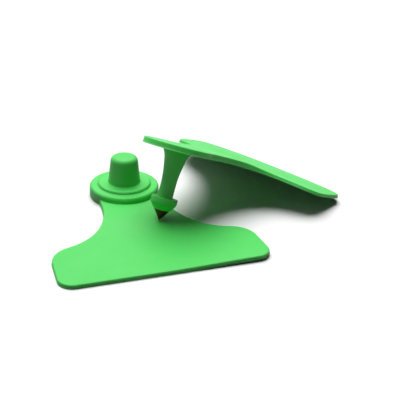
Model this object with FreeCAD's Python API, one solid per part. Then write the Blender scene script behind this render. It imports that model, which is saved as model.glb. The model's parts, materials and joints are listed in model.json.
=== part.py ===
"""Two-piece flag ear tag for livestock, in millimetres.

The female half lies flat with its closed boss upwards. The male half leans over it: the metal
point of its stud rests on the female neck, and the two far corners of its flag rest on the ground.

Frame: origin on the boss axis at the underside of the female half, +Z up, female flag towards -Y.
Each half is first modelled in its own frame: stud or boss axis on Z, flag towards -Y.
"""
import FreeCAD, Part
import math
import os
from FreeCAD import Vector

# ---- Flag outline, the same on both halves (distances are from the stud or boss axis) ----
flag_end_distance = 64.6        # to the end edge
flag_end_width = 77.7           # across the end edge
flag_shoulder_distance = 41.3   # to the shoulder corners
flag_shoulder_width = 76.4      # across the shoulder corners
shoulder_rise = 16.7            # degrees that each shoulder climbs towards the neck
end_corner_radius = 5.6
shoulder_corner_radius = 9.8
neck_inset = 1.3                # each side of the neck stands in from the round head by this much
neck_blend_radius = 11.3        # hollow between the round head and the neck
neck_curve_low = 16.0           # pull of the shoulder curve where it leaves the shoulder
neck_curve_high = 12.6          # pull of the shoulder curve where it reaches the neck

# ---- Wall of the female half ----
female_neck_wall = 2.5
female_flag_wall = 1.6
female_thinning_start = 20.0    # the wall thins from here ...
female_thinning_length = 20.0   # ... over this length
female_edge_bevel = 0.5         # broken edge all round the flag and under the collar

# ---- Collar, raised disc and boss of the female half ----
collar_radius = 14.0
collar_height = 4.8
collar_edge_bevel = 0.7
disc_radius = 10.7
disc_step = 1.15
disc_edge_bevel = 0.6
boss_base_radius = 6.5
boss_taper = 6.2                # degrees
boss_rise = 10.9                # above the raised disc
boss_edge_radius = 1.6
collar_cover = 0.6              # the flag's round end stops this far inside the collar

# ---- Male half ----
head_radius = 13.7
male_neck_wall = 2.5
male_flag_wall = 1.4
male_thinning_start = 24.0
male_thinning_length = 13.0
male_edge_bevel = 0.45
bend_start = 10.0               # the flag starts to twist and to curl across its width here ...
bend_length = 45.0              # ... and has its full twist and curl this much further on
flag_twist = 4.6                # degrees, one side of the flag up and the other down
flag_curl = 1.15                # droop of each side edge below the middle of the flag

# ---- Stud: flared stem, arrowhead barb, metal point ----
stud_length = 27.45             # underside of the head to the metal point
stem_radius = 2.95
stem_root_radius = 6.6          # the flare where it runs out into the head
stem_root_depth = 0.5           # depth inside the head at which it runs out
stem_shoulder_radius = 4.15     # the flare just below the head
stem_shoulder_drop = 3.5
stem_straight_drop = 13.5       # the stem is straight from here on
barb_radius = 5.1
barb_length = 4.85              # back rim to the end of the plastic
barb_land = 1.7                 # short straight side behind the cone
barb_cup = 0.5                  # depth of the hollow in the barb's back face
barb_rim_width = 0.5
point_radius = 2.75
point_length = 3.8
point_tip_radius = 0.15
tang_radius = 1.3
tang_length = 2.6
tang_clearance = 0.02
pin_hole_radius = 1.4           # takes the applicator's pin
pin_hole_floor = 1.6            # plastic left between the pin hole and the tang

# ---- Socket in the female half ----
throat_clearance = 0.8          # throat wall outside the stem
throat_length = 3.2
barb_clearance = 0.45           # chamber wall outside the barb, and above the point
chamber_land = 2.4              # straight part of the chamber above the locking shoulder
chamber_end_radius = 3.2

# ---- How the male half leans on the female half ----
male_heading = 27.4             # degrees from +X towards +Y, the way its flag points
point_x = 6.05                  # where the metal point rests on the female neck
point_y = -29.0
rest_clearance = 0.02

WELL_CLEAR = 60.0               # reach of the cutting solids past the walls


def smooth_step(s):
    """Rise from 0 to 1 with level ends as s goes from 0 to 1."""
    s = min(max(s, 0.0), 1.0)
    return s * s * (3.0 - 2.0 * s)


def wall_at(y, neck_wall, flag_wall, start, length):
    """Wall thickness at y: the neck's, thinning smoothly to the flag's."""
    return neck_wall + (flag_wall - neck_wall) * smooth_step((-y - start) / length)


def mirror_x(point):
    """Return the point's mirror image across the middle line."""
    return Vector(-point.x, point.y, point.z)


def rounded_corner(before, corner, after, radius):
    """Return the arc that rounds a corner, with the two points where it leaves the straight sides."""
    side_in = (before - corner).normalize()
    side_out = (after - corner).normalize()
    half_angle = side_in.getAngle(side_out) / 2.0
    reach = radius / math.tan(half_angle)
    bisector = (side_in + side_out).normalize()
    centre = corner + bisector * (radius / math.sin(half_angle))
    start = corner + side_in * reach
    end = corner + side_out * reach
    return start, centre - bisector * radius, end


def flag_outline(round_radius):
    """Closed outline of a half: round end, waisted neck, sloping shoulders and a near-square flag."""
    neck_half = round_radius - neck_inset
    blend_centre_x = neck_half + neck_blend_radius
    blend_span = round_radius + neck_blend_radius
    waist_distance = math.sqrt(blend_span ** 2 - blend_centre_x ** 2)
    blend_top = Vector(blend_centre_x, -waist_distance, 0) * (round_radius / blend_span)
    blend_centre = Vector(blend_centre_x, -waist_distance, 0)
    blend_out = (blend_top - blend_centre + Vector(-neck_blend_radius, 0, 0)).normalize()
    blend_mid = blend_centre + blend_out * neck_blend_radius
    waist = Vector(neck_half, -waist_distance, 0)

    slope = math.radians(shoulder_rise)
    inward = Vector(-math.cos(slope), math.sin(slope), 0)
    end_middle = Vector(0, -flag_end_distance, 0)
    end_corner = Vector(flag_end_width / 2, -flag_end_distance, 0)
    shoulder = Vector(flag_shoulder_width / 2, -flag_shoulder_distance, 0)
    e_start, e_mid, e_end = rounded_corner(end_middle, end_corner, shoulder, end_corner_radius)
    s_start, s_mid, s_end = rounded_corner(end_corner, shoulder, shoulder + inward, shoulder_corner_radius)
    poles = [s_end, s_end + inward * neck_curve_low, waist - Vector(0, neck_curve_high, 0), waist]

    def side(place, backwards):
        shoulder_curve = Part.BezierCurve()
        shoulder_curve.setPoles([place(p) for p in poles])
        edges = [
            Part.makeLine(place(end_middle), place(e_start)),
            Part.Arc(place(e_start), place(e_mid), place(e_end)).toShape(),
            Part.makeLine(place(e_end), place(s_start)),
            Part.Arc(place(s_start), place(s_mid), place(s_end)).toShape(),
            shoulder_curve.toShape(),
            Part.Arc(place(waist), place(blend_mid), place(blend_top)).toShape(),
        ]
        return edges[::-1] if backwards else edges

    top = Vector(0, round_radius, 0)
    round_end = Part.Arc(blend_top, top, mirror_x(blend_top)).toShape()
    return Part.Wire(side(lambda p: p, False) + [round_end] + side(mirror_x, True))


def outline_prism(round_radius, low, high):
    """Solid of the flag outline between two heights."""
    face = Part.Face(flag_outline(round_radius))
    face.translate(Vector(0, 0, low))
    return face.extrude(Vector(0, 0, high - low))


def rim_edges(solid, outline):
    """Edges of a slab that follow its outline, above or below it, but not its upright ones."""
    found = []
    for edge in solid.Edges:
        ends = [edge.valueAt(edge.FirstParameter), edge.valueAt(edge.LastParameter)]
        middle = edge.valueAt((edge.FirstParameter + edge.LastParameter) / 2)
        level = [Part.Vertex(p.x, p.y, 0) for p in ends + [middle]]
        on_outline = all(outline.distToShape(vertex)[0] < 1e-3 for vertex in level)
        upright = math.hypot(ends[0].x - ends[1].x, ends[0].y - ends[1].y) < 1e-3
        if on_outline and not upright:
            found.append(edge)
    return found


def revolved(edges):
    """Solid turned about Z from profile edges in the XZ plane, closed along the axis."""
    face = Part.Face(Part.Wire(edges))
    return face.revolve(Vector(0, 0, 0), Vector(0, 0, 1), 360)


def polygon_edges(points):
    """Straight edges through (radius, height) points."""
    return Part.makePolygon([Vector(r, 0, z) for r, z in points]).Edges


# ---------------------------------------------------------------- female half
def female_slab():
    """Flat flag and neck with a level underside and a thinning top."""
    half = flag_end_width
    near = collar_radius
    start = -female_thinning_start
    end = start - female_thinning_length
    pull = female_thinning_length / 3.0
    curve = Part.BezierCurve()
    curve.setPoles([
        Vector(-half, start, female_neck_wall),
        Vector(-half, start - pull, female_neck_wall),
        Vector(-half, end + pull, female_flag_wall),
        Vector(-half, end, female_flag_wall),
    ])
    far = -flag_end_distance - near
    corners = [
        Vector(-half, end, female_flag_wall),
        Vector(-half, far, female_flag_wall),
        Vector(-half, far, 0),
        Vector(-half, near, 0),
        Vector(-half, near, female_neck_wall),
        Vector(-half, start, female_neck_wall),
    ]
    section = Part.Wire([curve.toShape()] + Part.makePolygon(corners).Edges)
    bar = Part.Face(section).extrude(Vector(2 * half, 0, 0))
    round_radius = collar_radius - collar_cover
    slab = outline_prism(round_radius, 0, female_neck_wall).common(bar).Solids[0]
    return slab.makeChamfer(female_edge_bevel, rim_edges(slab, flag_outline(round_radius)))


def female_button():
    """Collar, raised disc and closed tapered boss, turned as one form."""
    disc_top = collar_height + disc_step
    boss_top = disc_top + boss_rise
    boss_top_radius = boss_base_radius - boss_rise * math.tan(math.radians(boss_taper))
    body = revolved(polygon_edges([
        (0, 0), (collar_radius - female_edge_bevel, 0), (collar_radius, female_edge_bevel),
        (collar_radius, collar_height - collar_edge_bevel),
        (collar_radius - collar_edge_bevel, collar_height), (disc_radius, collar_height),
        (disc_radius, disc_top - disc_edge_bevel), (disc_radius - disc_edge_bevel, disc_top),
        (boss_base_radius, disc_top), (boss_top_radius, boss_top), (0, boss_top), (0, 0),
    ]))
    return body.makeFillet(boss_edge_radius, circles_at(body, boss_top_radius, boss_top))


def circles_at(solid, radius, height):
    """Circular edges about Z of this radius at this height."""
    found = []
    for edge in solid.Edges:
        if isinstance(edge.Curve, Part.Circle):
            centre = edge.Curve.Center
            same_height = abs(centre.z - height) < 1e-4
            if same_height and abs(edge.Curve.Radius - radius) < 1e-4 and math.hypot(centre.x, centre.y) < 1e-4:
                found.append(edge)
    return found


def female_socket():
    """Blind hole from the underside: throat, locking shoulder and a chamber shaped like the barb."""
    throat_radius = stem_radius + throat_clearance
    chamber_radius = barb_radius + barb_clearance
    land_top = throat_length + chamber_land
    chamber_top = throat_length + barb_length + point_length + barb_clearance
    return revolved(polygon_edges([
        (0, -1), (throat_radius, -1), (throat_radius, throat_length), (chamber_radius, throat_length),
        (chamber_radius, land_top), (chamber_end_radius, chamber_top), (0, chamber_top), (0, -1),
    ]))


def female_tag():
    body = female_slab().fuse(female_button()).removeSplitter()
    return body.cut(female_socket()).removeSplitter()


# ------------------------------------------------------------------ male half
def underside_height(x, y):
    """Height of the male flag's underside: level at the head, twisted and curled further out."""
    share = smooth_step((-y - bend_start) / bend_length)
    curl = flag_curl * (2 * x / flag_end_width) ** 2
    return share * (x * math.tan(math.radians(flag_twist)) - curl)


def bent_sheet(thickness_share):
    """Smooth face through the underside, raised by a share of the wall's thickness."""
    half = flag_end_width * 0.6
    near = head_radius * 1.2
    far = -flag_end_distance * 1.1
    across, along = 9, 23
    rows = []
    for i in range(across):
        x = -half + 2 * half * i / (across - 1)
        row = []
        for j in range(along):
            y = near + (far - near) * j / (along - 1)
            wall = wall_at(y, male_neck_wall, male_flag_wall, male_thinning_start, male_thinning_length)
            row.append(Vector(x, y, underside_height(x, y) + wall * thickness_share))
        rows.append(row)
    sheet = Part.BSplineSurface()
    sheet.interpolate(rows)
    return sheet.toShape()


def male_slab():
    """Head, neck and bent flag as one wall with rounded edges."""
    above = bent_sheet(1.0).extrude(Vector(0, 0, WELL_CLEAR))
    below = bent_sheet(0.0).extrude(Vector(0, 0, -WELL_CLEAR))
    block = outline_prism(head_radius, -WELL_CLEAR / 4, WELL_CLEAR / 4)
    slab = block.cut(above).cut(below).Solids[0]
    return slab.makeChamfer(male_edge_bevel, rim_edges(slab, flag_outline(head_radius)))


def stud_profile():
    """Profile of the stud from inside the head down to the end of the plastic."""
    barb_back = -stud_length + point_length + barb_length
    plastic_end = -stud_length + point_length
    overlap = male_neck_wall * 0.6
    run_in = stem_root_radius - stem_shoulder_radius
    flare = Part.BSplineCurve()
    flare.interpolate(
        Points=[
            Vector(stem_root_radius, 0, stem_root_depth),
            Vector(stem_shoulder_radius, 0, -stem_shoulder_drop),
            Vector(stem_radius, 0, -stem_straight_drop),
        ],
        InitialTangent=Vector(-run_in * 2.0, 0, -run_in * 1.0),
        FinalTangent=Vector(0, 0, -stem_straight_drop),
    )
    cone = Part.BezierCurve()
    cone.setPoles([
        Vector(barb_radius, 0, barb_back - barb_land),
        Vector(barb_radius, 0, barb_back - barb_land * 1.6),
        Vector(point_radius, 0, plastic_end),
    ])
    down = polygon_edges([(0, overlap), (stem_root_radius, overlap), (stem_root_radius, stem_root_depth)])
    barb = polygon_edges([
        (stem_radius, -stem_straight_drop), (stem_radius, barb_back - barb_cup),
        (barb_radius - barb_rim_width, barb_back), (barb_radius, barb_back),
        (barb_radius, barb_back - barb_land),
    ])
    bottom = polygon_edges([(point_radius, plastic_end), (0, plastic_end), (0, overlap)])
    return down + [flare.toShape()] + barb + [cone.toShape()] + bottom


def male_tag_upright():
    """Male half in its own frame, head underside at zero."""
    plastic_end = -stud_length + point_length
    tang_top = plastic_end + tang_length + tang_clearance
    tang_hole = Part.makeCylinder(tang_radius + tang_clearance, tang_length + tang_clearance + 1,
                                  Vector(0, 0, plastic_end - 1))
    pin_floor = tang_top + pin_hole_floor
    pin_hole = Part.makeCylinder(pin_hole_radius, WELL_CLEAR, Vector(0, 0, pin_floor))
    body = male_slab().fuse(revolved(stud_profile())).removeSplitter()
    return body.cut(tang_hole).cut(pin_hole)


def piercing_tip_upright():
    """Metal cone with a slightly blunt end and a tang, in the male half's own frame."""
    base = -stud_length + point_length
    tip = -stud_length
    blunt_centre = tip + point_tip_radius
    rise = base - blunt_centre
    half_angle = math.atan2(point_radius, rise) - math.asin(point_tip_radius / math.hypot(point_radius, rise))

    def on_blunt(angle):
        return Vector(point_tip_radius * math.cos(angle), 0, blunt_centre - point_tip_radius * math.sin(angle))

    quarter = math.pi / 2
    cone_end = on_blunt(half_angle)
    blunt = Part.Arc(cone_end, on_blunt((half_angle + quarter) / 2), Vector(0, 0, tip)).toShape()
    above = polygon_edges([
        (0, base + tang_length), (tang_radius, base + tang_length), (tang_radius, base),
        (point_radius, base), (cone_end.x, cone_end.z),
    ])
    return revolved(above + [blunt] + polygon_edges([(0, tip), (0, base + tang_length)]))


def rest_placement(corner_sink):
    """Placement that stands the male half on its metal point and its two far corners.

    The upward direction in the half's own frame follows from three contact points and their
    heights. The heading then turns the flag about the vertical.
    """
    neck_top = wall_at(point_y, female_neck_wall, female_flag_wall, female_thinning_start,
                       female_thinning_length)
    contact = Vector(0, 0, -stud_length)
    inset = end_corner_radius * (1 - math.sqrt(0.5))
    x = flag_end_width / 2 - inset
    y = -flag_end_distance + inset
    right = Vector(x, y, underside_height(x, y)) - contact
    left = Vector(-x, y, underside_height(-x, y)) - contact
    drop = -(neck_top + rest_clearance + corner_sink)
    # up . right = drop and up . left = drop, with up of length one
    line = right.cross(left)
    base = (left.cross(line) - right.cross(line)) * (drop / line.dot(line))
    along = math.sqrt(1.0 - base.dot(base)) / line.Length
    up = base + line * along
    if up.z < 0:
        up = base - line * along
    forward = Vector(0, -1, 0)
    level_forward = (forward - up * forward.dot(up)).normalize()
    level_left = up.cross(level_forward)
    heading = math.radians(male_heading)
    world_forward = Vector(math.cos(heading), math.sin(heading), 0)
    world_left = Vector(0, 0, 1).cross(world_forward)
    columns = []
    for axis in (Vector(1, 0, 0), Vector(0, 1, 0), Vector(0, 0, 1)):
        columns.append(world_forward * axis.dot(level_forward) + world_left * axis.dot(level_left)
                       + Vector(0, 0, 1) * axis.dot(up))
    turn = FreeCAD.Rotation(columns[0], columns[1], columns[2], "XYZ")
    landing = Vector(point_x, point_y, neck_top + rest_clearance)
    return FreeCAD.Placement(landing - turn.multVec(contact), turn)


def placed(shape, placement):
    """Copy of a shape with the placement worked into its geometry."""
    copy = shape.copy()
    copy.transformShape(placement.toMatrix(), True)
    return copy


def lowest_point(shape):
    ground = Part.makePlane(6 * WELL_CLEAR, 6 * WELL_CLEAR,
                            Vector(-3 * WELL_CLEAR, -3 * WELL_CLEAR, -WELL_CLEAR))
    return shape.distToShape(ground)[0] - WELL_CLEAR


def seat_male_half(shape):
    """Find the placement at which the lowest corner just meets the ground."""
    sink = 0.0
    for _ in range(3):
        placement = rest_placement(sink)
        sink += lowest_point(placed(shape, placement))
    return rest_placement(sink)


def main():
    os.makedirs("parts", exist_ok=True)
    male = male_tag_upright()
    seat = seat_male_half(male)
    pieces = {
        "female_tag": female_tag(),
        "male_tag": placed(male, seat),
        "piercing_tip": placed(piercing_tip_upright(), seat),
    }
    for name, shape in pieces.items():
        solid = shape.Solids[0]
        box = solid.BoundBox
        print(name, len(shape.Solids), "solid", "valid" if shape.isValid() else "NOT VALID",
              "volume %.1f" % shape.Volume,
              "x %.2f..%.2f y %.2f..%.2f z %.3f..%.3f" % (box.XMin, box.XMax, box.YMin, box.YMax,
                                                         box.ZMin, box.ZMax))
        solid.exportStep("parts/%s.step" % name)
    print("male placement", seat)


main()
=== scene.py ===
"""Looks of a two-piece livestock flag tag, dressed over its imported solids.

The female half lies flat. The male half leans on it, with the metal point of its stud on the
female neck and the end of its flag just clear of the floor. Each half is one soft polyurethane
moulding and each is rebuilt here as smooth surfaces worked out with numpy, from sizes in
millimetres.
"""
import json
import logging
import math
from dataclasses import dataclass
from enum import Enum
from typing import Callable, Dict, List, Optional, Sequence, Tuple

import bmesh
import bpy
import numpy as np
from mathutils import Matrix, Vector


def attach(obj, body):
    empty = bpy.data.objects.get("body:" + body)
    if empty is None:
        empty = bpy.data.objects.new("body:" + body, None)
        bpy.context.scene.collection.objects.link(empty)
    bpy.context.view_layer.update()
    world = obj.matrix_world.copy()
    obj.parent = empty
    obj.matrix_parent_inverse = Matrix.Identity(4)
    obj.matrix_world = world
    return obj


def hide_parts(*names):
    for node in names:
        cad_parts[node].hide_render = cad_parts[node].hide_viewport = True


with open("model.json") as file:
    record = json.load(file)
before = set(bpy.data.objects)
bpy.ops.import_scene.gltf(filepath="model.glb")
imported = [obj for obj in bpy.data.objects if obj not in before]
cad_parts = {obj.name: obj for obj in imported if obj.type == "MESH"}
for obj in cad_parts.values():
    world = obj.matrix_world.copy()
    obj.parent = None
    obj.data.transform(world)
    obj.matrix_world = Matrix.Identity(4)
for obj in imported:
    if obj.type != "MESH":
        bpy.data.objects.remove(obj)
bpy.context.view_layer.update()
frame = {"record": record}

LOG = logging.getLogger("ear_tag")
MM = 0.001
WELD_DISTANCE = 1e-3 * MM       # points nearer than this become one
SLIVER_WIDTH = 1e-4 * MM        # faces narrower than this are taken out
SAME_HEIGHT = 0.01 * MM         # heights nearer than this count as the same
NOISE_LOW, NOISE_HIGH = 0.3, 0.7    # where most of a noise texture's values lie
WAVE_RATE = 20.0                # radians that a wave texture turns per unit of its scale
Array = np.ndarray
Colour = Tuple[float, float, float, float]
WHITE: Colour = (1.0, 1.0, 1.0, 1.0)
Heights = Callable[[Array, Array], Array]


# ------------------------------------------------------------------ numbers and colours
def linear(hex_code: str) -> Colour:
    """Turn an sRGB hex colour into the linear values that a shader socket takes.

    Args:
        hex_code: Colour such as "#62e070".

    Returns:
        Linear red, green and blue with an alpha of one.
    """
    code = hex_code.lstrip("#")
    srgb = np.array([int(code[i:i + 2], 16) for i in (0, 2, 4)]) / 255.0
    light = np.where(srgb <= 0.04045, srgb / 12.92, ((srgb + 0.055) / 1.055) ** 2.4)
    return (float(light[0]), float(light[1]), float(light[2]), 1.0)


def smooth_step(share: Array) -> Array:
    """Rise from 0 to 1 with level ends: 3 s^2 - 2 s^3, held at its ends outside 0 to 1."""
    held = np.clip(share, 0.0, 1.0)
    return held * held * (3.0 - 2.0 * held)


def bezier(poles: Sequence[Array], steps: int) -> Array:
    """Work out a Bezier curve: the sum of its n + 1 poles, each times C(n, k) t^k (1 - t)^(n - k).

    Args:
        poles: The curve's poles, from its first point to its last.
        steps: Points along the curve, both ends included.

    Returns:
        Array of points, one per row.
    """
    t = np.linspace(0.0, 1.0, steps)[:, None]
    degree = len(poles) - 1
    weights = [math.comb(degree, k) * t ** k * (1.0 - t) ** (degree - k) for k in range(degree + 1)]
    return sum(weight * pole for weight, pole in zip(weights, poles))


# ------------------------------------------------------------------ meshes from grids of points
def grid_object(name: str, points: Array) -> bpy.types.Object:
    """Make a closed mesh from a grid of points, one ring per row.

    Each point is joined to its neighbour in the ring and to the same two in the next ring. The
    first and last rings lie folded on a line or a point, so welding their points closes them.

    Args:
        name: Name of the new object and mesh.
        points: Array of shape (rings, points in a ring, 3) in millimetres.

    Returns:
        The object at the origin, with its doubles merged and its faces turned outwards.
    """
    rows, columns, _ = points.shape
    index = np.arange(rows * columns).reshape(rows, columns)
    beside = np.roll(index, -1, axis=1)
    quads = np.stack([index[:-1], beside[:-1], beside[1:], index[1:]], axis=-1)
    mesh = bpy.data.meshes.new(name)
    mesh.from_pydata((points.reshape(-1, 3) * MM).tolist(), [], quads.reshape(-1, 4).tolist())
    work = bmesh.new()
    work.from_mesh(mesh)
    bmesh.ops.remove_doubles(work, verts=work.verts, dist=WELD_DISTANCE)
    bmesh.ops.dissolve_degenerate(work, edges=work.edges, dist=SLIVER_WIDTH)
    bmesh.ops.recalc_face_normals(work, faces=work.faces)
    work.to_mesh(mesh)
    work.free()
    piece = bpy.data.objects.new(name, mesh)
    bpy.context.scene.collection.objects.link(piece)
    return piece


def rounded_profile(corners: Sequence[Tuple[float, float, float]], steps: int = 7) -> Array:
    """Round the corners of a profile.

    Each corner with radius r is replaced by the arc that touches both its sides: its centre lies
    on the corner's bisector, r / sin(half the corner's angle) away, and the arc runs between the
    two points r / tan(half the angle) along the sides.

    Args:
        corners: Radius and height, or x and y, and then the rounding radius of each corner.
        steps: Points on each arc.

    Returns:
        Array of points, one per row.
    """
    places = np.array([c[:2] for c in corners], float)
    found: List[Array] = [places[:1]]
    for before, here, after, radius in zip(places[:-2], places[1:-1], places[2:],
                                           [c[2] for c in corners[1:-1]]):
        if radius <= 0:
            found.append(here[None])
            continue
        side_in = (before - here) / np.linalg.norm(before - here)
        side_out = (after - here) / np.linalg.norm(after - here)
        half = 0.5 * math.acos(float(np.clip(side_in @ side_out, -1.0, 1.0)))
        bisector = (side_in + side_out) / np.linalg.norm(side_in + side_out)
        centre = here + bisector * radius / math.sin(half)
        start = here + side_in * radius / math.tan(half) - centre
        end = here + side_out * radius / math.tan(half) - centre
        turn = math.atan2(start[0] * end[1] - start[1] * end[0], float(start @ end))
        angle = np.linspace(0.0, turn, steps)[:, None]
        swung = np.concatenate([-start[None, 1:], start[None, :1]], axis=1)
        found.append(centre + start * np.cos(angle) + swung * np.sin(angle))
    found.append(places[-1:])
    return np.concatenate(found)


def refined(profile: Array, longest: float) -> Array:
    """Add points so that no stretch of a profile is longer than a limit.

    Args:
        profile: Array of (radius, height) points.
        longest: Longest stretch allowed, in millimetres.

    Returns:
        The profile with the added points.
    """
    stretch = np.linalg.norm(np.diff(profile, axis=0), axis=1)
    pieces = np.maximum(1, np.ceil(stretch / longest)).astype(int)
    place = np.concatenate([i + np.arange(n) / n for i, n in enumerate(pieces)] + [[len(pieces)]])
    knots = np.arange(len(profile))
    return np.stack([np.interp(place, knots, profile[:, k]) for k in (0, 1)], axis=1)


def revolved(name: str, profile: Array, segments: int) -> bpy.types.Object:
    """Turn a profile about Z: the point (r, z) goes round as (r cos a, r sin a, z).

    Args:
        name: Name of the new object.
        profile: Array of (radius, height) points, starting and ending on the axis.
        segments: Points in each ring.

    Returns:
        The closed turned object.
    """
    angle = np.linspace(0.0, 2.0 * math.pi, segments, endpoint=False)
    radius, height = profile[:, :1], profile[:, 1:]
    level = np.broadcast_to(height, (len(profile), segments))
    rings = np.stack([radius * np.cos(angle), radius * np.sin(angle), level], axis=-1)
    return grid_object(name, rings)


class Join(Enum):
    """How one solid is worked into another."""

    UNITE = "UNION"
    CUT = "DIFFERENCE"


def lowest(piece: bpy.types.Object) -> float:
    """Return the height of a piece's lowest point, in metres."""
    places = np.empty(len(piece.data.vertices) * 3)
    piece.data.vertices.foreach_get("co", places)
    return float(places[2::3].min())


def worked(base: bpy.types.Object, tool: bpy.types.Object, how: Join) -> None:
    """Work a tool solid into a base solid, and remove the tool.

    Args:
        base: The object that is changed.
        tool: The object that is joined to it or cut from it.
        how: Whether the tool is united with the base or cut away.

    Raises:
        ValueError: If a union lost the tool or a cut took nothing away.
    """
    low = min(lowest(base), lowest(tool))
    points_before = len(base.data.vertices)
    modifier = base.modifiers.new(how.name, "BOOLEAN")
    modifier.object = tool
    modifier.operation = how.value
    modifier.solver = "EXACT"
    depsgraph = bpy.context.evaluated_depsgraph_get()
    mesh = bpy.data.meshes.new_from_object(base.evaluated_get(depsgraph))
    old = base.data
    base.modifiers.clear()
    base.data = mesh
    kept = how is Join.CUT or abs(lowest(base) - low) < SAME_HEIGHT
    if not kept or len(mesh.vertices) == points_before:
        raise ValueError(f"{how.name} of {tool.name} with {base.name} failed")
    mesh.name = base.name
    bpy.data.meshes.remove(old)
    bpy.data.objects.remove(tool)


def shaded_smooth(piece: bpy.types.Object, crease: float) -> None:
    """Shade a piece smooth, with sharp edges where its faces meet at more than an angle.

    Args:
        piece: The object to shade.
        crease: The angle in degrees.
    """
    piece.data.shade_smooth()
    piece.data.set_sharp_from_angle(angle=math.radians(crease))


# ------------------------------------------------------------------ shader helpers
def add_node(tree: bpy.types.NodeTree, kind: str, links: Optional[Dict[str, object]] = None,
             **settings: object) -> bpy.types.Node:
    """Add one shader node with its settings and links.

    Args:
        tree: The node tree.
        kind: Node type, such as "ShaderNodeTexNoise".
        links: Input name or number to a fixed value or to the output socket that feeds it.
        **settings: Attributes set on the node.

    Returns:
        The new node.
    """
    node = tree.nodes.new(kind)
    for key, value in settings.items():
        setattr(node, key, value)
    for key, value in (links or {}).items():
        socket = node.inputs[int(key) if key.isdigit() else key]
        if isinstance(value, bpy.types.NodeSocket):
            tree.links.new(value, socket)
        else:
            socket.default_value = value
    return node


def empty_material(name: str) -> Tuple[bpy.types.Material, bpy.types.NodeTree]:
    """Make a new node material with nothing in its tree.

    Args:
        name: Name of the material.

    Returns:
        The material and its node tree.
    """
    material = bpy.data.materials.new(name)
    material.use_nodes = True
    material.node_tree.nodes.clear()
    return material, material.node_tree


# ------------------------------------------------------------------ finishes
@dataclass(frozen=True)
class MouldedPolyurethane:
    """Thermoplastic polyurethane, injection moulded in a finely eroded mould.

    To the eye it is a strong even green with a soft satin sheen. Light enters a little way and
    comes out greener, so thin edges glow and shaded walls stay rich.
    """

    name: str = "moulded_polyurethane_green"
    body_hex: str = "#47da5b"
    cloud_hex: str = "#3fd453"
    cloud_size: float = 14.0        # mm, slow drift of pigment from the gate
    roughness: float = 0.56
    roughness_spread: float = 0.05
    ior: float = 1.5
    scatter_weight: float = 0.85
    scatter_depth: float = 1.9      # mm that green light travels inside
    scatter_red_share: float = 0.18
    scatter_blue_share: float = 0.22
    grain_size: float = 0.45        # mm; coarser than the real spark grain, which is too fine to show
    grain_depth: float = 0.012      # mm
    sink_size: float = 9.0          # mm, slow waviness where the wall cooled
    sink_depth: float = 0.03        # mm

    def build(self) -> bpy.types.Material:
        """Make the material: pigment drift, roughness drift, grain and slow waviness.

        Returns:
            The material.
        """
        material, tree = empty_material(self.name)
        place = add_node(tree, "ShaderNodeTexCoord").outputs["Object"]
        cloud = add_node(tree, "ShaderNodeTexNoise", {
            "Vector": place, "Scale": 1.0 / (self.cloud_size * MM), "Detail": 3.0, "Roughness": 0.55})
        colour = add_node(tree, "ShaderNodeMix", {
            "0": cloud.outputs["Fac"], "6": linear(self.body_hex), "7": linear(self.cloud_hex)},
            data_type="RGBA")
        rough = add_node(tree, "ShaderNodeMapRange", {
            "Value": cloud.outputs["Fac"], "From Min": NOISE_LOW, "From Max": NOISE_HIGH,
            "To Min": self.roughness - self.roughness_spread,
            "To Max": self.roughness + self.roughness_spread})
        grain = add_node(tree, "ShaderNodeTexNoise", {
            "Vector": place, "Scale": 1.0 / (self.grain_size * MM), "Detail": 2.0})
        sink = add_node(tree, "ShaderNodeTexNoise", {
            "Vector": place, "Scale": 1.0 / (self.sink_size * MM), "Detail": 1.0})
        wave = add_node(tree, "ShaderNodeBump", {
            "Height": sink.outputs["Fac"], "Distance": self.sink_depth * MM, "Strength": 1.0})
        relief = add_node(tree, "ShaderNodeBump", {
            "Height": grain.outputs["Fac"], "Distance": self.grain_depth * MM, "Strength": 1.0,
            "Normal": wave.outputs["Normal"]})
        shader = add_node(tree, "ShaderNodeBsdfPrincipled", {
            "Base Color": colour.outputs[2], "Roughness": rough.outputs["Result"], "IOR": self.ior,
            "Subsurface Weight": self.scatter_weight, "Subsurface Scale": self.scatter_depth * MM,
            "Subsurface Radius": (self.scatter_red_share, 1.0, self.scatter_blue_share),
            "Normal": relief.outputs["Normal"]})
        add_node(tree, "ShaderNodeOutputMaterial", {"Surface": shader.outputs["BSDF"]})
        return material


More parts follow.
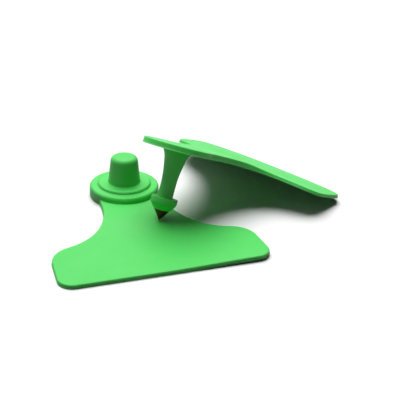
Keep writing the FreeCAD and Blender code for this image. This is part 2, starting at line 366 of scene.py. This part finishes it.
@dataclass(frozen=True)
class TurnedBronze:
    """Turned copper-alloy point, darkened by handling.

    To the eye it is dark and brownish, with a tight highlight down one side and fine tool rings.
    """

    name: str = "turned_bronze_darkened"
    bright_hex: str = "#6a4a38"
    dark_hex: str = "#2c1d16"
    tarnish_size: float = 1.6       # mm, blotches of tarnish
    roughness: float = 0.34
    roughness_spread: float = 0.08
    ring_pitch: float = 0.22        # mm, feed of the turning tool
    ring_depth: float = 0.006       # mm

    def build(self, axis_turn: Sequence[float]) -> bpy.types.Material:
        """Make the material, with its tool rings square to the axis.

        Args:
            axis_turn: Euler angles that lay the stud's axis along the pattern's own Z.

        Returns:
            The material.
        """
        material, tree = empty_material(self.name)
        place = add_node(tree, "ShaderNodeTexCoord").outputs["Object"]
        along = add_node(tree, "ShaderNodeMapping", {"Vector": place, "Rotation": tuple(axis_turn)},
                         vector_type="POINT")
        tarnish = add_node(tree, "ShaderNodeTexNoise", {
            "Vector": place, "Scale": 1.0 / (self.tarnish_size * MM), "Detail": 4.0})
        colour = add_node(tree, "ShaderNodeMix", {
            "0": tarnish.outputs["Fac"], "6": linear(self.dark_hex), "7": linear(self.bright_hex)},
            data_type="RGBA")
        rough = add_node(tree, "ShaderNodeMapRange", {
            "Value": tarnish.outputs["Fac"], "From Min": NOISE_LOW, "From Max": NOISE_HIGH,
            "To Min": self.roughness + self.roughness_spread,
            "To Max": self.roughness - self.roughness_spread})
        rings = add_node(tree, "ShaderNodeTexWave", {
            "Vector": along.outputs["Vector"], "Scale": 2.0 * math.pi / (WAVE_RATE * self.ring_pitch * MM)},
            wave_type="BANDS", bands_direction="Z")
        relief = add_node(tree, "ShaderNodeBump", {
            "Height": rings.outputs["Fac"], "Distance": self.ring_depth * MM, "Strength": 1.0})
        shader = add_node(tree, "ShaderNodeBsdfPrincipled", {
            "Base Color": colour.outputs[2], "Roughness": rough.outputs["Result"], "Metallic": 1.0,
            "Normal": relief.outputs["Normal"]})
        add_node(tree, "ShaderNodeOutputMaterial", {"Surface": shader.outputs["BSDF"]})
        return material


# ------------------------------------------------------------------ the flag's form, on both halves
@dataclass(frozen=True)
class FlagForm:
    """Outline and rounded edge of either half, in millimetres from its stud or boss axis.

    The lip's slope runs from its top back onto the edge, in shares of lip_out inwards and up.
    """

    end_distance: float = 64.6
    end_width: float = 77.7
    shoulder_distance: float = 41.3
    shoulder_width: float = 76.4
    shoulder_rise: float = 16.7     # degrees
    end_corner_radius: float = 5.6
    shoulder_corner_radius: float = 9.8
    neck_inset: float = 1.3
    neck_blend_radius: float = 11.3
    neck_curve_low: float = 16.0
    neck_curve_high: float = 12.6
    edge_radius: float = 0.55       # top edge
    lip_out: float = 0.12           # flash at the mould's parting line, level with the underside
    lip_height: float = 0.25
    lip_foot_bevel: float = 0.06
    lip_top_bevel: float = 0.08
    lip_slope: Tuple[Tuple[float, float], ...] = ((0.2, 0.0), (0.85, 0.7), (1.0, 1.0))
    middle_end_gap: float = 17.0    # from the end edge to the middle line
    middle_head_gap: float = 10.0   # from the round end to the middle line
    crowding: float = 1.35          # above one, rings crowd towards the edge
    around: int = 520               # points round the outline
    across: int = 18                # rings from the edge to the middle line
    round_steps: int = 6            # rings on the quarter-round of the edge
    arc_steps: int = 24
    curve_steps: int = 80
    head_steps: int = 60

    def corner_arc(self, before: Array, corner: Array, after: Array, radius: float) -> Array:
        """Return the arc that rounds one corner of the outline, as (x, y) points."""
        chain = [(*before, 0.0), (*corner, radius), (*after, 0.0)]
        return rounded_profile(chain, steps=self.arc_steps)[1:-1]

    def outline(self, round_radius: float) -> Array:
        """Work out the outline as evenly spaced points.

        Half of it runs from the middle of the end edge through the rounded end corner, up the
        side, round the shoulder, along a cubic Bezier curve into the neck, and through a hollow
        arc onto the round head. Its mirror image closes it.

        Args:
            round_radius: Radius of the round head.

        Returns:
            Array of (x, y) points, anticlockwise from the middle of the end edge.
        """
        neck_half = round_radius - self.neck_inset
        hollow_x = neck_half + self.neck_blend_radius
        hollow_span = round_radius + self.neck_blend_radius
        waist_y = -math.sqrt(hollow_span ** 2 - hollow_x ** 2)
        slope = math.radians(self.shoulder_rise)
        inward = np.array([-math.cos(slope), math.sin(slope)])
        middle = np.array([0.0, -self.end_distance])
        end = np.array([self.end_width / 2, -self.end_distance])
        shoulder = np.array([self.shoulder_width / 2, -self.shoulder_distance])
        waist = np.array([neck_half, waist_y])
        end_arc = self.corner_arc(middle, end, shoulder, self.end_corner_radius)
        beyond = shoulder + inward * self.shoulder_width
        shoulder_arc = self.corner_arc(end, shoulder, beyond, self.shoulder_corner_radius)
        curve = bezier([shoulder_arc[-1], shoulder_arc[-1] + inward * self.neck_curve_low,
                        waist - np.array([0.0, self.neck_curve_high]), waist], self.curve_steps)
        meet = math.atan2(waist_y, hollow_x)
        turn = np.linspace(math.pi, math.pi + meet, self.arc_steps)[:, None]
        hollow = np.array([hollow_x, waist_y]) + self.neck_blend_radius * np.concatenate(
            [np.cos(turn), np.sin(turn)], axis=1)
        swing = np.linspace(meet, math.pi / 2, self.head_steps)[:, None]
        head = round_radius * np.concatenate([np.cos(swing), np.sin(swing)], axis=1)
        half = np.concatenate([middle[None], end_arc, shoulder_arc, curve[1:], hollow[1:], head[1:]])
        run = np.concatenate([[0.0], np.cumsum(np.linalg.norm(np.diff(half, axis=0), axis=1))])
        even = np.linspace(0.0, run[-1], self.around // 2 + 1)
        half = np.stack([np.interp(even, run, half[:, k]) for k in (0, 1)], axis=1)
        return np.concatenate([half, half[-2:0:-1] * np.array([-1.0, 1.0])])

    def slab(self, name: str, round_radius: float, underside: Heights, wall: Heights) -> bpy.types.Object:
        """Build the flag, neck and round end as one wall with rounded edges.

        The first parameter goes round the outline. The second goes from the middle line under
        the wall out to the flash lip, up the lip and back onto the edge, over the edge's
        rounding and back to the middle line on top. A point on the flat parts lies on the
        straight line from the edge point to the point of the middle line that is level with it.
        Heights are measured up from the underside, or down from the top, at each place.

        Args:
            name: Name of the new object.
            round_radius: Radius of the round end.
            underside: Height of the underside at (x, y).
            wall: Thickness at (x, y).

        Returns:
            The closed object in the half's own frame.
        """
        edge = self.outline(round_radius)
        along = np.roll(edge, -1, axis=0) - np.roll(edge, 1, axis=0)
        along /= np.linalg.norm(along, axis=1)[:, None]
        inwards = np.stack([-along[:, 1], along[:, 0]], axis=1)
        reach = self.edge_radius + self.lip_out
        middle_y = np.clip(edge[:, 1], -self.end_distance + self.middle_end_gap,
                           round_radius - self.middle_head_gap)
        middle = np.stack([np.zeros_like(middle_y), middle_y], axis=1)
        rim = edge + inwards * reach

        def flat(part: float, top: bool) -> Array:
            """Work out a ring on the underside or the top.

            Args:
                part: Share of the way from the rim to the middle line.
                top: Whether it lies on top.

            Returns:
                Array of (x, y, z) points.
            """
            place = rim + (middle - rim) * part
            x, y = place[:, 0], place[:, 1]
            height = underside(x, y) + (wall(x, y) if top else 0.0)
            return np.column_stack([place, height])

        def side(inset: float, up: float, from_top: bool = False) -> Array:
            """Work out a ring on the edge.

            Args:
                inset: Distance in from the outline.
                up: Distance up from the underside, or down from the top.
                from_top: Whether it is measured from the top.

            Returns:
                Array of (x, y, z) points.
            """
            place = edge + inwards * inset
            x, y = place[:, 0], place[:, 1]
            height = underside(x, y) + (wall(x, y) - up if from_top else up)
            return np.column_stack([place, height])

        out, high, radius = self.lip_out, self.lip_height, self.edge_radius
        angle = np.linspace(0.0, math.pi / 2, self.round_steps + 1)
        share = np.linspace(0.0, 1.0, self.across + 1)[1:] ** self.crowding
        rings = [flat(part, False) for part in share[::-1]]
        rings += [side(out + radius, 0.0), side(self.lip_foot_bevel, 0.0),
                  side(0.0, self.lip_foot_bevel), side(0.0, high - self.lip_top_bevel)]
        rings += [side(out * inwards_share, high + out * up_share)
                  for inwards_share, up_share in self.lip_slope]
        rings += [side(out + radius * (1.0 - math.cos(a)), radius * (1.0 - math.sin(a)), True)
                  for a in angle]
        rings += [flat(part, True) for part in share]
        return grid_object(name, np.stack(rings))


# ------------------------------------------------------------------ female half
@dataclass
class FemaleHalf:
    """Front half: flag, neck, collar, raised disc, closed boss and the blind socket inside."""

    flag: FlagForm
    finish: MouldedPolyurethane
    neck_wall: float = 2.5
    flag_wall: float = 1.6
    thinning_start: float = 20.0
    thinning_length: float = 20.0
    collar_radius: float = 14.0
    collar_height: float = 4.8
    collar_round: float = 1.2
    collar_cover: float = 0.6       # the flag's round end lies this far inside the collar
    tuck: float = 0.4               # the flag's underside is drawn up by this under the collar
    tuck_length: float = 0.6
    disc_radius: float = 10.7
    disc_step: float = 1.15
    disc_round: float = 0.95
    boss_base_radius: float = 6.5
    boss_taper: float = 6.2         # degrees
    boss_rise: float = 10.9
    boss_round: float = 2.0
    root_round: float = 0.3         # small hollow where one form stands on another
    throat_radius: float = 3.75
    throat_length: float = 3.2
    chamber_radius: float = 5.55
    chamber_land_top: float = 5.6
    chamber_top: float = 12.3
    chamber_end_radius: float = 3.2
    shoulder_rounds: Tuple[float, float] = (0.15, 0.2)      # inner and outer edge of the shoulder
    chamber_rounds: Tuple[float, float] = (0.6, 0.8)        # foot and top of the chamber's taper
    socket_overrun: float = 1.0     # the cutting solid starts this far below the underside
    corner_lift: float = 0.8        # one end corner stands off the floor by this much
    corner_lift_from: Tuple[float, float] = (-5.0, -38.0)   # where it starts, across and along
    corner_lift_over: Tuple[float, float] = (45.0, 26.0)    # and how far on it is at its full height
    longest: float = 1.2            # longest stretch between turned rings
    button_segments: int = 160
    socket_segments: int = 96
    crease: float = 38.0            # degrees
    name: str = "female_half"

    def tucked(self, x: Array, y: Array) -> Array:
        """Return how far the flag's underside is drawn up inside the collar, to keep two faces
        that are united from lying in one plane."""
        inside = self.collar_radius - self.flag.edge_radius - np.hypot(x, y)
        return self.tuck * smooth_step(inside / self.tuck_length)

    def underside(self, x: Array, y: Array) -> Array:
        """Work out the underside: level, with one end corner gently lifted by a smooth step
        across times a smooth step along.

        Args:
            x: Distances across, from the boss axis.
            y: Distances along, negative towards the flag's end.

        Returns:
            Heights.
        """
        across = smooth_step((x - self.corner_lift_from[0]) / self.corner_lift_over[0])
        along = smooth_step((self.corner_lift_from[1] - y) / self.corner_lift_over[1])
        return self.corner_lift * across * along + self.tucked(x, y)

    def wall(self, x: Array, y: Array) -> Array:
        """Work out the thickness: the neck's, thinning by a smooth step to the flag's.

        Args:
            x: Distances across, from the boss axis.
            y: Distances along, negative towards the flag's end.

        Returns:
            Thicknesses.
        """
        share = smooth_step((-y - self.thinning_start) / self.thinning_length)
        return self.neck_wall + (self.flag_wall - self.neck_wall) * share - self.tucked(x, y)

    def button(self) -> bpy.types.Object:
        """Turn the collar, raised disc and closed boss as one solid.

        Returns:
            The turned object.
        """
        disc_top = self.collar_height + self.disc_step
        boss_top = disc_top + self.boss_rise
        narrowing = self.boss_rise * math.tan(math.radians(self.boss_taper))
        profile = rounded_profile([
            (0.0, 0.0, 0.0),
            (self.collar_radius, 0.0, self.root_round),
            (self.collar_radius, self.collar_height, self.collar_round),
            (self.disc_radius, self.collar_height, self.root_round),
            (self.disc_radius, disc_top, self.disc_round),
            (self.boss_base_radius, disc_top, self.root_round),
            (self.boss_base_radius - narrowing, boss_top, self.boss_round),
            (0.0, boss_top, 0.0),
        ], steps=9)
        return revolved("button", refined(profile, self.longest), self.button_segments)

    def socket(self) -> bpy.types.Object:
        """Turn the blind hole as a solid: throat, locking shoulder and barb-shaped chamber.

        Returns:
            The turned object, to be cut from the half.
        """
        inner, outer = self.shoulder_rounds
        foot, top = self.chamber_rounds
        profile = rounded_profile([
            (0.0, -self.socket_overrun, 0.0),
            (self.throat_radius, -self.socket_overrun, 0.0),
            (self.throat_radius, self.throat_length, inner),
            (self.chamber_radius, self.throat_length, outer),
            (self.chamber_radius, self.chamber_land_top, foot),
            (self.chamber_end_radius, self.chamber_top, top),
            (0.0, self.chamber_top, 0.0),
        ])
        return revolved("socket", refined(profile, self.longest), self.socket_segments)

    def build(self) -> bpy.types.Object:
        """Unite the flag and the button, cut the socket and dress the half.

        Returns:
            The finished half, riding on the root body.
        """
        round_radius = self.collar_radius - self.collar_cover
        half = self.flag.slab(self.name, round_radius, self.underside, self.wall)
        worked(half, self.button(), Join.UNITE)
        worked(half, self.socket(), Join.CUT)
        shaded_smooth(half, self.crease)
        half.data.materials.clear()
        half.data.materials.append(self.finish.build())
        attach(half, "root")
        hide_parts("female_tag")
        return half


# ------------------------------------------------------------------ male half
@dataclass
class Lean:
    """How the male half stands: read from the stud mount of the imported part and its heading."""

    heading: float = 27.4           # degrees from +X towards +Y, the way its flag points

    def matrix(self, stud_length: float) -> Matrix:
        """Work out the turn and place of the male half.

        The stud mount gives the metal point's place and the axis out of it. The flag's direction
        is square to that axis and lies above the heading on the ground.

        Args:
            stud_length: Underside of the head to the metal point, in millimetres.

        Returns:
            Matrix from the half's own frame to the row frame, in metres.
        """
        mounts = {mount["name"]: mount for mount in frame["record"]["mounts"]}
        point = Vector(mounts["stud"]["pos_m"])
        up = -Vector(mounts["stud"]["axis"]).normalized()
        course = Vector((math.cos(math.radians(self.heading)), math.sin(math.radians(self.heading)), 0.0))
        flag_way = (course - Vector((0.0, 0.0, course.dot(up) / up.z))).normalized()
        across = (-flag_way).cross(up)
        turn = Matrix((across, -flag_way, up)).transposed()
        head = point + up * stud_length * MM
        return Matrix.Translation(head) @ turn.to_4x4()


@dataclass
class MaleHalf:
    """Back half: flag, neck, round head, flared stem and arrowhead barb, gently bent."""

    flag: FlagForm
    finish: MouldedPolyurethane
    place: Matrix
    head_radius: float = 13.7
    neck_wall: float = 2.3
    flag_wall: float = 1.35
    thinning_start: float = 24.0
    thinning_length: float = 13.0
    bend_start: float = 10.0
    bend_length: float = 45.0
    twist: float = 4.6              # degrees
    curl: float = 1.15              # how far the sides droop below the middle
    end_lift: float = 0.85          # the end edge stands up by this much
    corner_lift: float = 0.5        # and one of its corners by this much more
    lift_start: float = 40.0
    lift_length: float = 25.0
    stud_length: float = 27.45
    stem_radius: float = 2.95
    root_radius: float = 6.6
    root_depth: float = 0.5
    shoulder_radius: float = 4.15
    shoulder_drop: float = 3.5
    straight_drop: float = 13.5
    flare_lean: Tuple[float, float] = (-0.42, -2.0)     # the flare's course at its shoulder
    flare_pulls: Tuple[float, float, float] = (0.75, 1.5, 3.6)  # above and below it, and at the foot
    flare_root: Tuple[float, float] = (0.55, 0.3)       # its course at the root, in shares of its run
    barb_radius: float = 5.1
    barb_length: float = 4.85
    barb_land: float = 1.7
    barb_cup: float = 0.5
    barb_rim: float = 0.5
    barb_round: float = 0.22
    barb_bulge: float = 1.6         # how far the land's course carries on, in land lengths
    cup_round: float = 0.25
    rim_round: float = 0.15
    stud_overlap: float = 0.6       # share of the neck's wall that the stud's solid reaches into
    point_radius: float = 3.15
    point_length: float = 4.15
    tang_radius: float = 1.32
    tang_length: float = 2.62
    pin_radius: float = 1.4
    pin_floor: float = 1.6
    pin_floor_round: float = 0.3
    pin_lead: float = 0.25
    stud_longest: float = 1.0       # longest stretch between turned rings
    pin_longest: float = 2.0
    stud_segments: int = 112
    pin_segments: int = 64
    crease: float = 38.0            # degrees
    name: str = "male_half"

    def underside(self, x: Array, y: Array) -> Array:
        """Work out the underside: level at the head, and further out the twist's slope across,
        less the curl times the square of the share of the way to the side, plus the lift of the
        end edge and one corner.

        Args:
            x: Distances across, from the stud axis.
            y: Distances along, negative towards the flag's end.

        Returns:
            Heights.
        """
        share = smooth_step((-y - self.bend_start) / self.bend_length)
        curl = self.curl * (2.0 * x / self.flag.end_width) ** 2
        lift = self.end_lift + self.corner_lift * smooth_step(-2.0 * x / self.flag.end_width)
        lift = lift * smooth_step((-y - self.lift_start) / self.lift_length)
        return share * (x * math.tan(math.radians(self.twist)) - curl) + lift

    def wall(self, x: Array, y: Array) -> Array:
        """Return the thickness, which thins along by a smooth step and is even across."""
        share = smooth_step((-y - self.thinning_start) / self.thinning_length)
        return self.neck_wall + (self.flag_wall - self.neck_wall) * share

    def flare(self) -> Array:
        """Work out the stem's flare: two cubic Bezier curves that meet at its shoulder on one
        course and end level with the straight stem.

        Returns:
            Array of (radius, height) points, from the head down.
        """
        run = self.root_radius - self.shoulder_radius
        root = np.array([self.root_radius, self.root_depth])
        shoulder = np.array([self.shoulder_radius, -self.shoulder_drop])
        end = np.array([self.stem_radius, -self.straight_drop])
        lean = np.array(self.flare_lean)
        above, below, straight = self.flare_pulls
        upper = [root, root - run * np.array(self.flare_root), shoulder - lean * above, shoulder]
        lower = [shoulder, shoulder + lean * below, end + np.array([0.0, straight]), end]
        steps = 14
        return np.concatenate([bezier(upper, steps), bezier(lower, steps)[1:]])

    def stud(self) -> bpy.types.Object:
        """Turn the flared stem and arrowhead barb as one solid, with its tang hole. The barb's
        nose is a quadratic Bezier curve from its land to the metal point.

        Returns:
            The turned object.
        """
        plastic_end = -self.stud_length + self.point_length
        back = plastic_end + self.barb_length
        nose = bezier([np.array([self.barb_radius, back - self.barb_land]),
                       np.array([self.barb_radius, back - self.barb_land * self.barb_bulge]),
                       np.array([self.point_radius, plastic_end])], steps=16)
        rim = rounded_profile([
            (self.stem_radius, -self.straight_drop, 0.0),
            (self.stem_radius, back - self.barb_cup, self.cup_round),
            (self.barb_radius - self.barb_rim, back, self.rim_round),
            (self.barb_radius, back, self.barb_round),
            (self.barb_radius, back - self.barb_land, 0.0),
        ], steps=6)
        inside = self.neck_wall * self.stud_overlap
        top = np.array([[0.0, inside], [self.root_radius, inside]])
        tang_top = plastic_end + self.tang_length
        end = np.array([[self.tang_radius, plastic_end], [self.tang_radius, tang_top], [0.0, tang_top]])
        profile = np.concatenate([top, self.flare(), rim[1:], nose[1:], end])
        return revolved("stud", refined(profile, self.stud_longest), self.stud_segments)

    def pin_hole(self) -> bpy.types.Object:
        """Turn the applicator pin's blind hole as a solid, with a small lead-in at its mouth.

        Returns:
            The turned object, to be cut from the half.
        """
        floor = -self.stud_length + self.point_length + self.tang_length + self.pin_floor
        lead = self.pin_lead
        profile = rounded_profile([
            (0.0, floor, 0.0),
            (self.pin_radius, floor, self.pin_floor_round),
            (self.pin_radius, self.neck_wall - lead, 0.0),
            (self.pin_radius + lead * 2, self.neck_wall + lead, 0.0),
            (0.0, self.neck_wall + lead, 0.0),
        ])
        return revolved("pin_hole", refined(profile, self.pin_longest), self.pin_segments)

    def build(self) -> bpy.types.Object:
        """Unite the flag and the stud, cut the pin hole, and lean and dress the half.

        Returns:
            The finished half, riding on the root body.
        """
        half = self.flag.slab(self.name, self.head_radius, self.underside, self.wall)
        worked(half, self.stud(), Join.UNITE)
        worked(half, self.pin_hole(), Join.CUT)
        shaded_smooth(half, self.crease)
        half.data.transform(self.place)
        half.data.materials.clear()
        half.data.materials.append(self.finish.build())
        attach(half, "root")
        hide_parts("male_tag")
        return half


@dataclass
class MetalPoint:
    """The turned metal point with its tang, seated in the end of the male half's barb."""

    seat: MaleHalf
    finish: TurnedBronze
    side_gap: float = 0.03          # the point is this much smaller than the barb's end, all round
    tang_gap: float = 0.02          # between the tang and its hole
    tip_radius: float = 0.15
    tang_round: float = 0.15
    edge_round: float = 0.12
    longest: float = 0.4            # longest stretch between turned rings
    segments: int = 96
    crease: float = 35.0            # degrees
    name: str = "metal_point"

    def build(self) -> bpy.types.Object:
        """Turn the point as a cone with a rounded tip, and seat and dress it.

        Returns:
            The finished point, riding on the root body.
        """
        radius = self.seat.point_radius - self.side_gap
        tang_radius = self.seat.tang_radius - self.tang_gap
        tip = -self.seat.stud_length
        base = tip + self.seat.point_length
        tang_top = base + self.seat.tang_length - self.tang_gap
        slope = math.atan2(radius, self.seat.point_length)
        peak = tip - self.tip_radius * (1.0 / math.sin(slope) - 1.0)
        profile = rounded_profile([
            (0.0, tang_top, 0.0),
            (tang_radius, tang_top, self.tang_round),
            (tang_radius, base, 0.0),
            (radius, base, self.edge_round),
            (0.0, peak, 0.0),
        ])
        beside = [self.tip_radius * math.cos(slope), tip + self.tip_radius * (1.0 - math.sin(slope))]
        profile = np.concatenate([profile[:-1], [beside, [0.0, tip]]])
        piece = revolved(self.name, refined(profile, self.longest), self.segments)
        shaded_smooth(piece, self.crease)
        piece.data.transform(self.seat.place)
        axis_turn = self.seat.place.to_3x3().transposed().to_euler()
        piece.data.materials.append(self.finish.build(axis_turn))
        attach(piece, "root")
        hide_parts("piercing_tip")
        return piece


# ------------------------------------------------------------------ studio
@dataclass
class Studio:
    """White floor, one broad soft light overhead, a weak one from the side and a weaker room."""

    floor_half_width: float = 3.0   # metres
    floor_drop: float = 0.00002     # metres, so that nothing shares the floor's plane
    spread: float = 52.0            # degrees across each light
    overhead_strength: float = 3.42
    overhead_tilt: float = 22.0     # degrees from straight down
    overhead_azimuth: float = 178.0
    fill_strength: float = 0.16
    fill_azimuth: float = -105.0
    fill_tilt: float = 50.0
    room_strength: float = 0.025
    bounce_hex: str = "#303030"     # how the floor looks to light that it sends back up

    def floor(self) -> bpy.types.Object:
        """Lay the floor: white to the eye and in reflections, duller as a source of bounce.

        Returns:
            The floor.
        """
        w = self.floor_half_width
        mesh = bpy.data.meshes.new("floor")
        mesh.from_pydata([(-w, -w, 0.0), (w, -w, 0.0), (w, w, 0.0), (-w, w, 0.0)], [], [(0, 1, 2, 3)])
        floor = bpy.data.objects.new("floor", mesh)
        bpy.context.scene.collection.objects.link(floor)
        floor.location.z = -self.floor_drop
        material, tree = empty_material("matt_white_card")
        path = add_node(tree, "ShaderNodeLightPath")
        seen = add_node(tree, "ShaderNodeMath", {
            "0": path.outputs["Is Camera Ray"], "1": path.outputs["Is Glossy Ray"]}, operation="MAXIMUM")
        seen = add_node(tree, "ShaderNodeMath", {
            "0": seen.outputs["Value"], "1": path.outputs["Is Transmission Ray"]}, operation="MAXIMUM")
        colour = add_node(tree, "ShaderNodeMix", {
            "0": seen.outputs["Value"], "6": linear(self.bounce_hex), "7": WHITE},
            data_type="RGBA")
        card = add_node(tree, "ShaderNodeBsdfDiffuse", {"Color": colour.outputs[2]})
        add_node(tree, "ShaderNodeOutputMaterial", {"Surface": card.outputs["BSDF"]})
        mesh.materials.append(material)
        return floor

    @staticmethod
    def sun(name: str, strength: float, spread: float, tilt: float, azimuth: float) -> None:
        """Hang one broad, far light.

        Args:
            name: Name of the lamp.
            strength: Strength on a surface square to it.
            spread: Degrees across the light.
            tilt: Degrees from straight overhead.
            azimuth: Degrees round from the side that faces -Y.
        """
        lamp = bpy.data.lights.new(name, "SUN")
        lamp.energy = strength
        lamp.angle = math.radians(spread)
        light = bpy.data.objects.new(name, lamp)
        bpy.context.scene.collection.objects.link(light)
        lean, turn = math.radians(tilt), math.radians(azimuth)
        back = Vector((math.sin(turn) * math.sin(lean), -math.cos(turn) * math.sin(lean), math.cos(lean)))
        light.rotation_euler = back.to_track_quat("Z", "Y").to_euler()

    def lights(self) -> None:
        """Hang the overhead light and the side fill, and set the room's weak light."""
        self.sun("overhead", self.overhead_strength, self.spread, self.overhead_tilt,
                 self.overhead_azimuth)
        self.sun("side_fill", self.fill_strength, self.spread, self.fill_tilt, self.fill_azimuth)
        world = bpy.data.worlds.new("room")
        bpy.context.scene.world = world
        world.use_nodes = True
        tree = world.node_tree
        tree.nodes.clear()
        path = add_node(tree, "ShaderNodeLightPath")
        seen = add_node(tree, "ShaderNodeMath", {
            "0": path.outputs["Is Camera Ray"], "1": path.outputs["Is Glossy Ray"]}, operation="MAXIMUM")
        strength = add_node(tree, "ShaderNodeMapRange", {
            "Value": seen.outputs["Value"], "To Min": self.room_strength, "To Max": 1.0})
        sky = add_node(tree, "ShaderNodeBackground", {
            "Color": WHITE, "Strength": strength.outputs["Result"]})
        add_node(tree, "ShaderNodeOutputWorld", {"Surface": sky.outputs["Background"]})


@dataclass
class Viewpoint:
    """Where the camera stands, looking at a point on the floor beside the boss."""

    azimuth: float = -20.445        # degrees; zero looks along +Y
    elevation: float = 26.9
    roll: float = 2.587
    distance: float = 334.93        # mm from the target
    target: Tuple[float, float, float] = (28.289, -13.224, 0.0)
    lens: float = 74.0              # mm
    sensor_width: float = 36.0      # mm
    clip_start: float = 0.01        # metres

    def build(self) -> bpy.types.Object:
        """Stand the camera on its line of sight, rolled about it, and make it the scene's own.

        Returns:
            The camera.
        """
        az, el, roll = (math.radians(a) for a in (self.azimuth, self.elevation, self.roll))
        back = Vector((math.sin(az) * math.cos(el), -math.cos(az) * math.cos(el), math.sin(el)))
        right = (-back).cross(Vector((0.0, 0.0, 1.0))).normalized()
        up = right.cross(-back)
        turned_right = right * math.cos(roll) + up * math.sin(roll)
        turned_up = up * math.cos(roll) - right * math.sin(roll)
        camera = bpy.data.objects.new("camera", bpy.data.cameras.new("camera"))
        bpy.context.scene.collection.objects.link(camera)
        camera.data.lens = self.lens
        camera.data.sensor_width = self.sensor_width
        camera.data.clip_start = self.clip_start
        turn = Matrix((turned_right, turned_up, back)).transposed().to_4x4()
        stand = (Vector(self.target) + back * self.distance) * MM
        camera.matrix_world = Matrix.Translation(stand) @ turn
        bpy.context.scene.camera = camera
        return camera


def main() -> None:
    """Build the camera, the studio and the three pieces, and report each."""
    logging.basicConfig(level=logging.INFO, format="%(name)s: %(message)s")
    bpy.context.scene.view_settings.view_transform = "Standard"
    Viewpoint().build()
    studio = Studio()
    studio.floor()
    studio.lights()
    plastic = MouldedPolyurethane()
    male_flag = FlagForm(
        end_distance=64.35, end_width=77.5, edge_radius=0.4, lip_out=0.25, lip_height=0.14)
    female = FemaleHalf(flag=FlagForm(), finish=plastic)
    male = MaleHalf(flag=male_flag, finish=plastic, place=Lean().matrix(MaleHalf.stud_length))
    point = MetalPoint(seat=male, finish=TurnedBronze())
    for piece in (female.build(), male.build(), point.build()):
        LOG.info("%s: %d faces", piece.name, len(piece.data.polygons))


if __name__ == "__main__":
    main()
